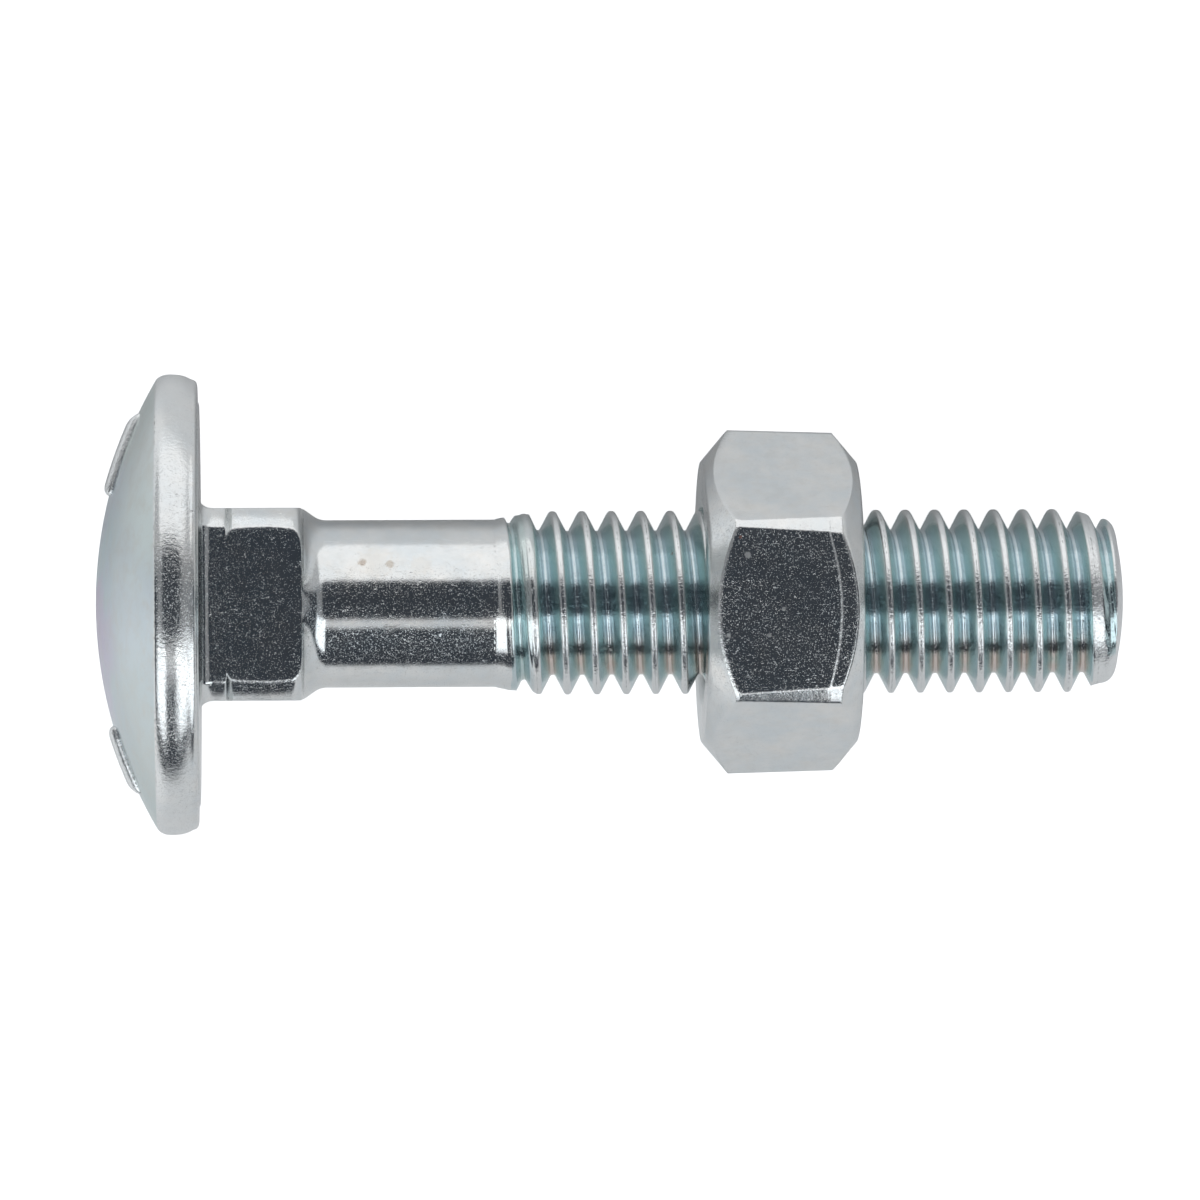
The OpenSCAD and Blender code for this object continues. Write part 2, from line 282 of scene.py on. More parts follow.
# The neck's square closes to a round shoulder, a cone and a hollow lead to the shank, and the shank ends
# just inside the thread, which dips under it.
shoulder_r = NECK_W / 2 - 0.03
close_share = np.linspace(0.25, 1, 4)[:, None]
close_r = neck_r[-1:] * (1 - close_share) + shoulder_r * close_share
close_s = neck_s[-1] + (NECK_L - neck_s[-1]) * close_share
hollow_rise = SHOULDER_ROUND * (1 - cos(SHOULDER_ANGLE))
cone_l = (shoulder_r - SHANK_R - hollow_rise) / tan(SHOULDER_ANGLE)
hollow_s = NECK_L + cone_l + SHOULDER_ROUND * sin(SHOULDER_ANGLE)
shank_s = np.linspace(hollow_s + 0.4, THREAD_START - 0.7, 10)
dip_s = np.linspace(THREAD_START - SHANK_DIP_L, THREAD_START, 5)
shank_end_s = THREAD_START + 0.02
dip = SHANK_DIP * ((dip_s - dip_s[0]) / SHANK_DIP_L) ** 2
shank_rows = np.concatenate([
    arc(SHANK_R + SHOULDER_ROUND, hollow_s, -SHOULDER_ROUND, SHOULDER_ANGLE, 0, 9),
    np.stack([shank_s, np.full(len(shank_s), SHANK_R)], -1),
    np.stack([dip_s, SHANK_R - dip], -1),
    [[shank_end_s, SHANK_R - SHANK_END_STEP]]])

blank_grid = np.concatenate([
    head_grid,
    around(0.0, face_r, neck_angles, NECK_SIDE, NECK_TOP),
    around(fillet_s, fillet_r, neck_angles, NECK_SIDE, NECK_TOP),
    around(neck_s[:, None], neck_r, neck_angles, NECK_SIDE, NECK_TOP),
    around(close_s, close_r, neck_angles, NECK_SIDE, NECK_TOP),
    around(shank_rows[:, :1], shank_rows[:, 1:], neck_angles, NECK_SIDE, NECK_TOP)])
blank = lattice(blank_grid, -HEAD_H * AXIS, shank_end_s * AXIS)

# Rolled thread: one helix of rows whose section has rounded roots, flanks a little steeper than the
# standard's 30 degrees, and narrow, crowned crests with the fine lap that rolling leaves along their middle.
STEPS = 72
SECTION = np.array([0, .03, .06, .09, .115, .14, .165, .24, .33, .42, .47, .5, .53, .57, .625])
FLANK = radians(27.5)
HALF_RIDGE = 0.29
ROOT_R = 3.06
CROWN_R = 0.2
CROWN_REACH = 0.15
CREST_BLEND = 0.04
ROOT_BLEND = 0.045
LAP_DEPTH = 0.012
LAP_W = 0.03
GROWTH_POWER = 0.7
FADE_POWER = 0.8
TURNS_ON_DOME = 2
DOME_TURNED = 0.98
THREAD_LEAD = 0.5
LEAD_SINK = 0.006
section = np.concatenate([PITCH / 2 - SECTION[:0:-1], PITCH / 2 + SECTION[:-1]])
point_edge = BOLT_L - POINT_DOME - POINT_ROUND
point_dome_at = point_edge + POINT_ROUND * pi / 2


def from_crest(station, turn):
    """Distance along the axis from the middle of the nearest crest, less than half a pitch either way."""
    return (station - turn * PITCH - CREST_AT + PITCH / 2) % PITCH - PITCH / 2


def thread_r(station, turn):
    """Radius of the rolled section. x is the distance from the crest's middle, and the flank is
    r = shank + (half ridge - x) / tan (flank). The roll bites in by `grown`, from nothing to full depth."""
    away = np.abs(from_crest(station, turn))
    grown = np.clip((station - THREAD_START) / (RUN_OUT_TURNS * PITCH), 0, 1)
    bite = (SHANK_R - ROOT_R) * (1 - grown)
    flank = SHANK_R + (HALF_RIDGE - away) / tan(FLANK) + bite
    lap = LAP_DEPTH * grown * np.exp(-(away / LAP_W) ** 2)
    fall = CROWN_R - np.sqrt(CROWN_R ** 2 - np.minimum(away, CROWN_REACH) ** 2)
    crest = SHANK_R + (CREST_R - SHANK_R) * grown ** GROWTH_POWER - lap - fall * grown
    return -soft_least(-soft_least(flank, crest, CREST_BLEND), -(ROOT_R + bite), ROOT_BLEND)


first_turn = np.floor((THREAD_START - 0.1 - CREST_AT) / PITCH)
helix_start = CREST_AT + PITCH * (first_turn - 0.5)
turns = int(np.ceil((point_dome_at - helix_start) / PITCH)) + TURNS_ON_DOME
turn_rows = (helix_start + PITCH * np.arange(turns)[:, None] + section[None, :]).ravel()
step_turn = np.arange(STEPS) / STEPS
station = turn_rows[:, None] + PITCH * step_turn[None, :]
dome_turns = (station - point_dome_at) / PITCH / (TURNS_ON_DOME + 1)
dome_share = (1 - np.clip(dome_turns, 0, DOME_TURNED)) ** 2
edge_turn = np.clip((station - point_edge) / POINT_ROUND, 0, pi / 2)
taper = np.clip((station - (BOLT_L - POINT_L)) / (point_edge - BOLT_L + POINT_L), 0, 1)
path_r = np.where(
    station < point_edge,
    CREST_R - (CREST_R - POINT_R) * taper,
    (POINT_R - POINT_ROUND) * dome_share + POINT_ROUND * np.cos(edge_turn))
path_s = np.where(
    station < point_edge,
    station,
    point_edge + POINT_ROUND * np.sin(edge_turn) + POINT_DOME * (1 - dome_share ** 2))

# The last groove runs out before the point's end. The first rows rise out of the shank over half a
# millimetre, so gently that no seam shows.
past_crest = from_crest(station, step_turn[None, :])
groove_at = station - past_crest + np.where(past_crest > 0, 0.5, -0.5) * PITCH
left = np.clip((BOLT_L - LAST_GROOVE_END - groove_at) / LAST_GROOVE_FADE, 0, 1)
sunk = np.maximum(path_r - thread_r(station, step_turn[None, :]), 0) * left ** FADE_POWER
lead = np.clip((THREAD_START - station) / THREAD_LEAD, 0, 1)
helix_r = np.where(station < THREAD_START, SHANK_R - LEAD_SINK * lead ** 2, path_r - sunk)
helix_s = np.maximum(path_s, THREAD_START - THREAD_LEAD)
helix_grid = around(helix_s, helix_r, 2 * pi * step_turn, NECK_SIDE, NECK_TOP)
thread_pole = (THREAD_START - THREAD_LEAD) * AXIS
thread = lattice(helix_grid, thread_pole, BOLT_L * AXIS, len(section))

# Plain raised bars on the dome, three on either side of its middle, coined by the heading die.
BAR_W = 1.0
BAR_H = 0.3
BAR_PLACES = [(6.35, 3.5), (-6.55, 2.9)]
BAR_ROWS = (-1.65, 0.0, 1.65)
BAR_FOOT = -0.15
BAR_POWER = 6
# The bar's rounding: how far in, and how high over the dome.
BAR_LEVELS = np.array([
    (0, BAR_FOOT), (0.02, 0.03), (0.07, 0.11), (0.14, 0.18), (0.23, 0.24), (0.34, 0.28), (0.46, BAR_H)])


def raised_bar(middle, across, length):
    """Closed shell of a bar with rounded corners and edges, on the dome: rings of a superellipse
    |u / a|^6 + |v / b|^6 = 1, set in by the rounding and raised over the dome's sphere."""
    turn = np.linspace(0, 2 * pi, 48, endpoint=False)[None, :]
    set_in, height = BAR_LEVELS[:, :1], BAR_LEVELS[:, 1:]
    wide = np.sign(np.cos(turn)) * np.abs(np.cos(turn)) ** (2 / BAR_POWER)
    high = np.sign(np.sin(turn)) * np.abs(np.sin(turn)) ** (2 / BAR_POWER)
    along = middle + (length / 2 - set_in) * wide
    over = across - (BAR_W / 2 - set_in) * high
    rings, foot, top = (
        (dome_r - HEAD_H - np.sqrt(dome_r ** 2 - u ** 2 - v ** 2) - raised)[..., None] * AXIS
        + u[..., None] * NECK_SIDE + v[..., None] * NECK_TOP
        for u, v, raised in (
            (along, over, height),
            (np.array(middle), np.array(across), BAR_FOOT),
            (np.array(middle), np.array(across), BAR_H)))
    return lattice(rings, foot, top)


bars = [raised_bar(middle, across, length) for middle, length in BAR_PLACES for across in BAR_ROWS]


def node(tree, kind, feeds=(), stops=(), out=None, **settings):
    """Adds a node with its settings, feeds its sockets from (socket, value or other socket) pairs, sets the
    (place, colour) stops of a ramp, and returns the node, or the output that `out` names."""
    new = tree.nodes.new(kind)
    for key, value in settings.items():
        setattr(new, key, value)
    for socket, source in feeds:
        if isinstance(source, bpy.types.NodeSocket):
            tree.links.new(source, new.inputs[socket])
        else:
            new.inputs[socket].default_value = source
    for number, (place, colour) in enumerate(stops):
        stop = new.color_ramp.elements[number] if number < 2 else new.color_ramp.elements.new(place)
        stop.position = place
        stop.color = linear(colour)
    return new if out is None else new.outputs[out]


def linear(hex_colour):
    """An sRGB colour such as "c8d0d4" as linear RGBA."""
    parts = np.array([int(hex_colour[i:i + 2], 16) for i in (0, 2, 4)]) / 255
    return (*np.where(parts <= 0.04045, parts / 12.92, ((parts + 0.055) / 1.055) ** 2.4), 1.0)


TO_MM = (1000, 1000, 1000)
SCRATCH_SCALE = (900, 14000, 14000)
MICRON = 0.000001
FILM_REACH = 9.0


def zinc_plate(name, marks):
    """Bright barrel-plated zinc: pale and a little blue, clouded by the passivation film, which shows lilac
    and sea green on the dome and pools teal in the thread's grooves. A fine irregular grain of crystals and
    knocks makes it sparkle, and rubbed edges are duller and paler.
    marks are (place in mm, radius in mm, colour, gloss lost, share) of single spots."""
    material = bpy.data.materials.new(name)
    material.use_nodes = True
    tree = material.node_tree
    shader = tree.nodes["Principled BSDF"]
    shader.inputs["Metallic"].default_value = 1.0
    object_place = node(tree, "ShaderNodeTexCoord", out="Object")
    place, drawn_out = (
        node(tree, "ShaderNodeVectorMath", [(0, object_place), (1, scale)], out=0, operation="MULTIPLY")
        for scale in (TO_MM, SCRATCH_SCALE))
    dome, groove, worn, lap, grain = (
        node(tree, "ShaderNodeAttribute", out="Fac", attribute_name=key)
        for key in ("dome", "groove", "worn", "lap", "grain"))

    # Noises in cycles per millimetre: the span of each that counts, and the span that it becomes. Zinc's real
    # crystals are too fine to show in the render, so the grain and crystals are as coarse as they need to be.
    noise = {}
    for key, vector, scale, detail, roughness, start, end, low, high in (
            ("clouds", place, 0.5, 5.0, 0.65, 0.36, 0.66, 0.0, 1.0),
            ("drift", place, 0.2, 3.0, 0.6, 0.3, 0.7, -0.12, 0.12),
            ("pools", place, 0.9, 3.0, 0.55, 0.3, 0.7, -0.08, 0.08),
            ("ragged", place, 5.0, 3.0, 0.7, 0.3, 0.7, -0.5, 0.5),
            ("patches", place, 0.5, 2.0, 0.55, 0.42, 0.58, 0.0, 0.5),
            ("haze", place, 2.2, 4.0, 0.55, 0.3, 0.7, 0.09, 0.17),
            ("waves", place, 1.1, 2.0, 0.55, 0.0, 1.0, 0.0, 1.0),
            ("grain", place, 20.0, 2.0, 0.6, 0.0, 1.0, 0.0, 1.0),
            ("crystals", place, 17.0, 3.0, 0.65, 0.6, 0.72, 0.0, 1.0),
            ("density", place, 0.3, 3.0, 0.6, 0.35, 0.6, 0.75, 1.25),
            ("mottle", place, 1.4, 6.0, 0.7, 0.45, 0.7, 0.0, 0.3),
            ("rubbing", place, 7.0, 2.0, 0.6, 0.35, 0.65, 0.0, 1.0),
            ("scratches", drawn_out, 1.0, 2.0, 0.5, 0.66, 0.72, 0.0, 1.0),
            ("knocks", place, 3.4, 3.0, 0.7, 0.66, 0.74, 0.0, 1.0)):
        texture = node(tree, "ShaderNodeTexNoise", [
            ("Vector", vector), ("Scale", scale), ("Detail", detail), ("Roughness", roughness)], out="Fac")
        noise[key] = node(tree, "ShaderNodeMapRange", [
            ("Value", texture), ("From Min", start), ("From Max", end),
            ("To Min", low), ("To Max", high)], out=0)

    # Colour: clouds of the film, its lilac and sea green on the dome, which deepen where it turns away,
    # teal grooves with tan roots on the lower side, rubbed edges, and a dark colour along the crests' lap
    # that is painted shade in its fold, and that also draws the line of dross where the dome meets the rim.
    aside = node(tree, "ShaderNodeSeparateXYZ", [("Vector", place)], out="Y")
    phase = node(tree, "ShaderNodeMapRange", [
        ("Value", aside), ("From Min", -FILM_REACH), ("From Max", FILM_REACH)], out=0)
    phase = node(tree, "ShaderNodeMath", [(0, phase), (1, noise["drift"])], out=0, operation="ADD")
    facing = node(tree, "ShaderNodeLayerWeight", [("Blend", 0.5)], out="Facing")
    turned = node(tree, "ShaderNodeMapRange", [
        ("Value", facing), ("From Min", 0.7), ("From Max", 0.94)], out=0)
    near_film = node(tree, "ShaderNodeValToRGB", [("Fac", phase)], [
        (0.1, "c6cfce"), (0.9, "d8e0df"), (0.3, "c5d0d2"), (0.5, "cbd5da"), (0.7, "d3dedd")], out="Color")
    far_film = node(tree, "ShaderNodeValToRGB", [("Fac", phase)], [
        (0.1, "a3bcbc"), (0.9, "bccdc8"), (0.27, "a7bac8"), (0.36, "b7a4d0"), (0.45, "bda3d2"),
        (0.52, "a2bfd2"), (0.6, "9ec5cd"), (0.7, "a8bacf"), (0.8, "b1c8d4")], out="Color")
    film = node(tree, "ShaderNodeMix", [(0, turned), (6, near_film), (7, far_film)], out=2, data_type="RGBA")
    film = node(tree, "ShaderNodeMix", [(0, noise["mottle"]), (6, film), (7, linear("c4bdb2"))],
                out=2, data_type="RGBA")
    base = node(tree, "ShaderNodeValToRGB", [("Fac", noise["clouds"])],
                [(0.0, "d9dee0"), (1.0, "e6e6e4")], out="Color")
    depth = node(tree, "ShaderNodeMath", [(0, groove), (1, noise["pools"])], out=0, operation="ADD")
    low_side = node(tree, "ShaderNodeMapRange", [
        ("Value", aside), ("From Min", -1.0), ("From Max", -2.2)], out=0)
    high_groove = node(tree, "ShaderNodeValToRGB", [("Fac", depth)], [
        (0.1, "c8d2d0"), (0.95, "c6d3d8"), (0.35, "bed0d0"), (0.75, "c0d3d6")], out="Color")
    low_groove = node(tree, "ShaderNodeValToRGB", [("Fac", depth)], [
        (0.1, "c8d3d6"), (0.97, "d2c6bf"), (0.35, "bfd1d4"), (0.75, "bfd1d0"), (0.9, "c4cac4")], out="Color")
    pooled = node(tree, "ShaderNodeMix", [(0, low_side), (6, high_groove), (7, low_groove)],
                  out=2, data_type="RGBA")
    in_groove = node(tree, "ShaderNodeMapRange", [
        ("Value", groove), ("From Min", 0.06), ("From Max", 0.2)], out=0)
    # The lap's dark colour is painted shade in the fold along the crests; the same colour draws the dross
    # line where the dome meets the rim.
    ragged_lap = node(tree, "ShaderNodeMath", [(0, lap), (1, noise["ragged"])], out=0, operation="ADD")
    lap_edge = node(tree, "ShaderNodeMapRange", [
        ("Value", ragged_lap), ("From Min", 0.85), ("From Max", 1.0)], out=0)
    lap_shade_and_dross_share = node(tree, "ShaderNodeMath", [
        (0, lap_edge), (1, noise["patches"])], out=0, operation="MULTIPLY")
    for share, colour in (
            (noise["mottle"], linear("cfccc6")),
            (dome, film),
            (in_groove, pooled),
            (worn, linear("e3e5e5")),
            (lap_shade_and_dross_share, linear("3c3c3e"))):
        base = node(tree, "ShaderNodeMix", [(0, share), (6, base), (7, colour)], out=2, data_type="RGBA")

    # Gloss: hazy in patches, duller on the rubbed edges and in the spots, brighter in the rolled grooves.
    rough = noise["haze"]
    for share, gloss_lost in ((worn, 0.1), (groove, -0.04)):
        rough = node(tree, "ShaderNodeMath", [(0, share), (1, gloss_lost), (2, rough)],
                     out=0, operation="MULTIPLY_ADD")
    for middle, radius, colour, gloss_lost, share in marks:
        away = node(tree, "ShaderNodeVectorMath", [(0, place), (1, middle)],
                    out="Value", operation="DISTANCE")
        ragged = node(tree, "ShaderNodeMath", [(0, noise["ragged"]), (1, 0.5 * radius), (2, away)],
                      out=0, operation="MULTIPLY_ADD")
        spot = node(tree, "ShaderNodeMapRange", [
            ("Value", ragged), ("From Min", radius), ("From Max", 0.55 * radius), ("To Max", share)], out=0)
        base = node(tree, "ShaderNodeMix", [(0, spot), (6, base), (7, linear(colour))],
                    out=2, data_type="RGBA")
        rough = node(tree, "ShaderNodeMath", [(0, spot), (1, gloss_lost), (2, rough)],
                     out=0, operation="MULTIPLY_ADD")
    tree.links.new(base, shader.inputs["Base Color"])
    tree.links.new(rough, shader.inputs["Roughness"])

    # Relief in thousandths of a millimetre: long waves of the dies, grain, crystals in patches, scratches,
    # knocks, and ragged rubbed edges.
    normal = node(tree, "ShaderNodeBump", [
        ("Height", noise["waves"]), ("Distance", 8 * MICRON)], out="Normal")
    dense = node(tree, "ShaderNodeMath", [(0, grain), (1, noise["density"])], out=0, operation="MULTIPLY")
    for key, amount, height in (
            ("grain", grain, 2.2), ("crystals", dense, 3.3), ("scratches", grain, -1.5),
            ("knocks", grain, -6.0), ("rubbing", worn, 7.0)):
        rise = node(tree, "ShaderNodeMath", [(0, noise[key]), (1, amount)], out=0, operation="MULTIPLY")
        normal = node(tree, "ShaderNodeBump", [
            ("Height", rise), ("Distance", abs(height) * MICRON), ("Normal", normal)],
            out="Normal", invert=height < 0)
    tree.links.new(normal, shader.inputs["Normal"])
    return material


DOME_GRAIN = 0.25
RIM_GRAIN = 2.0
NECK_GRAIN = 1.15
SHANK_GRAIN = 1.0
THREAD_GRAIN = 1.9
CREST_GRAIN = 1.1
BAR_GRAIN = 2.0
RIM_WORN = 0.5
BAR_WORN = 1.0
NECK_EDGE_IN = 0.03
NECK_EDGE_W = 0.09
CREST_BAND = 0.12
CREST_RUBBED = 0.1
CREST_LAP_W = 0.035
blank_row = np.arange(len(blank_grid))[:, None]
neck_first = len(head_grid) + len(face_r)
neck_start = neck_first + len(fillet_r)
neck_last = neck_start + len(neck_s) + len(close_r)
blank_grain = np.select(
    [blank_row < edge_row, blank_row < neck_first, blank_row < neck_last],
    [DOME_GRAIN, RIM_GRAIN, NECK_GRAIN], SHANK_GRAIN)


def per_place(values, columns, first, last):
    """One value per place of a lattice from a grid or a column of values, and those of its two poles."""
    return np.concatenate([np.broadcast_to(values, (len(values), columns)).ravel(), [first, last]])


def even_values(count, dome=0.0, groove=0.0, worn=0.0, lap=0.0, grain=1.0):
    """Values for the places of a shell, each the same all over it unless it is given per place."""
    return {key: np.broadcast_to(value, count) for key, value in (
        ("dome", dome), ("groove", groove), ("worn", worn), ("lap", lap), ("grain", grain))}


# The rim and the neck's long edges are rubbed, and a thin line of dross lies where the dome meets the rim.
neck_edge = np.arccos(np.clip(NECK_W / 2 / neck_rows[:, 1:], 0, 1))
blank_worn = np.zeros((len(blank_grid), ANGLES))
blank_worn[edge_row + 1:rim_last + 1] = RIM_WORN
blank_worn[neck_start:neck_start + len(neck_s)] = np.exp(
    -((np.abs(from_flat - neck_edge) * neck_rows[:, 1:] - NECK_EDGE_IN) / NECK_EDGE_W) ** 2)
blank_lap = np.select([blank_row == edge_row, blank_row == edge_row + 1], [0.95, 0.5], 0.0)
blank_values = {
    "dome": per_place((blank_row < edge_row) * 1.0, ANGLES, 1, 0),
    "groove": per_place(blank_row * 0.0, ANGLES, 0, 0),
    "worn": per_place(blank_worn, ANGLES, 0, 0),
    "lap": per_place(blank_lap, ANGLES, 0, 0),
    "grain": per_place(blank_grain, ANGLES, DOME_GRAIN, SHANK_GRAIN)}
# The grooves' depth counts from the end of the first half turn, and only where the roll has cut.
depth = np.clip((CREST_R - helix_r) / (CREST_R - ROOT_R), 0, 1)
depth = np.where(station < THREAD_START + PITCH / 2, 0, depth)
depth = np.where(path_r < helix_r + 0.01, 0, depth)
past_start = station > THREAD_START + PITCH
thread_grain = THREAD_GRAIN - (THREAD_GRAIN - CREST_GRAIN) * np.clip(1 - depth / CREST_BAND, 0, 1)
thread_values = {
    "dome": per_place(0 * depth, STEPS, 0, 0),
    "groove": per_place(depth, STEPS, 0, 0),
    "worn": per_place(np.clip(1 - depth / CREST_RUBBED, 0, 1) * past_start, STEPS, 0, 0),
    "lap": per_place(np.exp(-(past_crest / CREST_LAP_W) ** 2) * past_start, STEPS, 0, 0),
    "grain": per_place(thread_grain, STEPS, THREAD_GRAIN, THREAD_GRAIN)}
bar_values = even_values(len(bars[0][0]), worn=BAR_WORN, grain=BAR_GRAIN)

bolt = make_piece("carriage_bolt", [
    (*blank, blank_values), (*thread, thread_values), *((*bar, bar_values) for bar in bars)])


def on_bolt(station, aside, radius):
    """A place on the near side of the bolt, this far along it and to the picture's top."""
    return tuple(AXIS * station + NECK_SIDE * aside + NECK_TOP * sqrt(radius ** 2 - aside ** 2))


bolt.data.materials.append(zinc_plate("bright zinc plate on the bolt", [
    (on_bolt(7.4, 1.75, SHANK_R), 0.9, "d8d0c4", 0.04, 0.25),
    (on_bolt(6.85, 1.75, SHANK_R), 0.2, "a89684", 0.2, 0.6),
    (on_bolt(8.0, 1.65, SHANK_R), 0.22, "b0a08c", 0.2, 0.5),
    (on_bolt(9.3, 1.6, SHANK_R), 0.6, "d8d0c4", 0.04, 0.25),
    (on_bolt(15.6, 2.3, 3.6), 0.09, "2c2d30", 0.3, 0.9),
    (on_bolt(19.95, 2.05, 3.6), 0.14, "8a6a58", 0.3, 0.7),
    (on_bolt(38.15, 2.5, 3.5), 0.1, "1e1f22", 0.3, 0.9)]))
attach(bolt, "bolt")
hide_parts("bolt")

# Nut: a hex nut of the same steel and plate. It is cold-formed in a die, which rounds its corners and leaves
# a shallow step on one flat, then chamfered at both ends, tapped right through and screwed onto the bolt.
nut_mount = next(m for m in frame["record"]["mounts"] if m["name"] == "nut_seat")
NUT_AT = float(np.dot(np.array(nut_mount["pos_m"]), AXIS)) / MM
NUT_AF = 12.8
NUT_H = 6.55
NUT_CORNER_R = (7.30, 7.17)
NUT_FACE_R = 5.975
NUT_CHAMFER = radians(40)
NUT_MOUTH_R = 4.35
NUT_BORE_R = 4.02
NUT_MINOR_R = 3.6
NUT_THREAD_PLAY = 0.05
NUT_CORNER_BLEND = 0.06
NUT_ANGLES = 300
STEP_FROM = 0.877
STEP_TO = 0.895
STEP_DROP = 0.03

hex_angles = even_angles(NUT_ANGLES, [sixth * pi / 3 for sixth in range(6)], 6, 0.06)


def hex_r(share):
    """Radius of the hexagon at a share of its height, with rounded corners that grow towards the tip."""
    from_flat = hex_angles[None, :] % (pi / 3) - pi / 6
    flat = NUT_AF / 2 / np.cos(from_flat)
    corner = NUT_CORNER_R[0] + (NUT_CORNER_R[1] - NUT_CORNER_R[0]) * np.asarray(share)[..., None]
    return soft_least(flat, corner * np.ones_like(flat), NUT_CORNER_BLEND)


# Rows along the flats, crowded at the step.
side_share = np.concatenate([
    np.linspace(0, 0.86, 14), np.linspace(0.874, 0.898, 5), np.linspace(0.91, 1, 5)])[:, None]
near_r = hex_r(np.array([0.0]))
far_r = hex_r(np.array([1.0]))
near_edge = (near_r - NUT_FACE_R) * tan(NUT_CHAMFER)
far_edge = NUT_H - (far_r - NUT_FACE_R) * tan(NUT_CHAMFER)
side_s = near_edge + (far_edge - near_edge) * side_share
# The die leaves a shallow step across the upper flat, short of its end towards the tip, and the flat falls
# as much again from there to its end. `front` is 1 on the upper flat and 0 on the others.
step_share = np.clip((side_share - STEP_FROM) / (STEP_TO - STEP_FROM), 0, 1)
past_step = np.clip((side_share - STEP_TO) / (1 - STEP_TO), 0, 1)
front = np.clip((np.sin(hex_angles) - 0.8) / 0.08, 0, 1)
side_r = hex_r(side_share[:, 0]) - front * STEP_DROP * (step_share + past_step)
far_r = side_r[-1:]
chamfer_share = np.linspace(0, 0.97, 6)[:, None]
near_chamfer_r = NUT_FACE_R + (near_r - NUT_FACE_R) * chamfer_share
near_chamfer_s = (near_chamfer_r - NUT_FACE_R) * tan(NUT_CHAMFER)
far_chamfer_r = NUT_FACE_R + (far_r - NUT_FACE_R) * chamfer_share[::-1]
far_chamfer_s = NUT_H - (far_chamfer_r - NUT_FACE_R) * tan(NUT_CHAMFER)
mouth_l = NUT_MOUTH_R - NUT_BORE_R
bore = np.array([
    (mouth_l + 0.05, NUT_BORE_R), (mouth_l, NUT_BORE_R), (0.02, NUT_MOUTH_R - 0.02), (0, NUT_MOUTH_R + 0.02),
    (0, NUT_FACE_R - 0.03)])
bore_back = np.array([(NUT_H - s, r) for s, r in bore[::-1]])
nut_grid = np.concatenate([
    around(NUT_AT + bore[:, :1], bore[:, 1:], hex_angles, LEVEL, RISE),
    around(NUT_AT + near_chamfer_s, near_chamfer_r, hex_angles, LEVEL, RISE),
    around(NUT_AT + side_s, side_r, hex_angles, LEVEL, RISE),
    around(NUT_AT + far_chamfer_s, far_chamfer_r, hex_angles, LEVEL, RISE),
    around(NUT_AT + bore_back[:, :1], bore_back[:, 1:], hex_angles, LEVEL, RISE)])


def torus_faces(points):
    """Closed surface over a grid that closes both ways: rings whose last row meets the first."""
    rows, columns = points.shape[:2]
    index = np.arange(rows * columns).reshape(rows, columns)
    down = np.roll(index, -1, 0)
    quads = np.stack([index, np.roll(index, -1, 1), np.roll(down, -1, 1), down], -1).reshape(-1, 4)
    return points.reshape(-1, 3), quads, np.zeros((0, 3), int)


nut_body = torus_faces(nut_grid)

# The nut's thread: a helical ridge in the bolt's groove, with play beside both flanks. It is shallower than
# the groove, so that it also clears the bolt's point when the nut is out there. Its section is a closed
# line of (distance from the groove's middle, radius), sunk into the bore at its foot. It fades over part
# of a turn at both ends.
RIDGE_STEPS = 60
RIDGE_FOOT_R = 4.06
RIDGE_EDGE = 0.03
RIDGE_GAP = 0.4
RIDGE_FADE_TURNS = 0.4
ridge_from = NUT_AT + RIDGE_GAP
ridge_turns = (NUT_H - 2 * RIDGE_GAP) / PITCH
ridge_groove = CREST_AT + PITCH / 2
ridge_turn = np.arange(int(ridge_turns * RIDGE_STEPS) + 1) / RIDGE_STEPS
ridge_start = (ridge_from - ridge_groove) / PITCH
half_groove = PITCH / 2 - HALF_RIDGE - NUT_THREAD_PLAY
half_foot = half_groove + (RIDGE_FOOT_R - SHANK_R) * tan(FLANK)
half_top = half_groove - (SHANK_R - NUT_MINOR_R) * tan(FLANK)
ridge_side = np.array([
    (half_foot, RIDGE_FOOT_R), (half_top, NUT_MINOR_R + RIDGE_EDGE), (half_top - RIDGE_EDGE, NUT_MINOR_R)])
ridge_section = np.concatenate([ridge_side * (-1, 1), ridge_side[::-1]])
from_end = np.minimum(ridge_turn, ridge_turn[-1] - ridge_turn)
ends = np.clip(from_end / RIDGE_FADE_TURNS, 0.02, 1)[:, None]
ridge_r = RIDGE_FOOT_R - (RIDGE_FOOT_R - ridge_section[None, :, 1]) * ends
ridge_s = ridge_from + ridge_turn[:, None] * PITCH + ridge_section[None, :, 0]
ridge_angle = 2 * pi * (ridge_start + ridge_turn)[:, None]
ridge_grid = around(ridge_s, ridge_r, ridge_angle, NECK_SIDE, NECK_TOP)
ridge = lattice(ridge_grid, ridge_grid[0].mean(0), ridge_grid[-1].mean(0))

# The nut is rubbed beside its corners, round the ends of its flats and along the step.
NUT_GRAIN = 1.1
CORNER_WORN = 0.3
CORNER_IN = 0.3
CORNER_W = 0.2
CORNER_AT_R = 7.2
FLAT_END_WORN = 0.7
RIDGE_GROOVE = 0.5
STEP_LINE_W = 0.012
corner_away = np.abs((hex_angles + pi / 6) % (pi / 3) - pi / 6)
corner_worn = CORNER_WORN * np.exp(-((corner_away * CORNER_AT_R - CORNER_IN) / CORNER_W) ** 2)
step_line = np.exp(-((side_share - (STEP_FROM + STEP_TO) / 2) / STEP_LINE_W) ** 2)
nut_worn = np.zeros((len(nut_grid), NUT_ANGLES))
side_first = len(bore) + len(near_chamfer_r)
side_last = side_first + len(side_share) - 1
nut_worn[side_first:side_last + 1] = np.maximum(corner_worn[None, :], step_line * front)
nut_worn[[side_first, side_last]] = FLAT_END_WORN
nut_values = even_values(len(nut_body[0]), worn=nut_worn.ravel(), grain=NUT_GRAIN)
ridge_values = even_values(len(ridge[0]), groove=RIDGE_GROOVE)
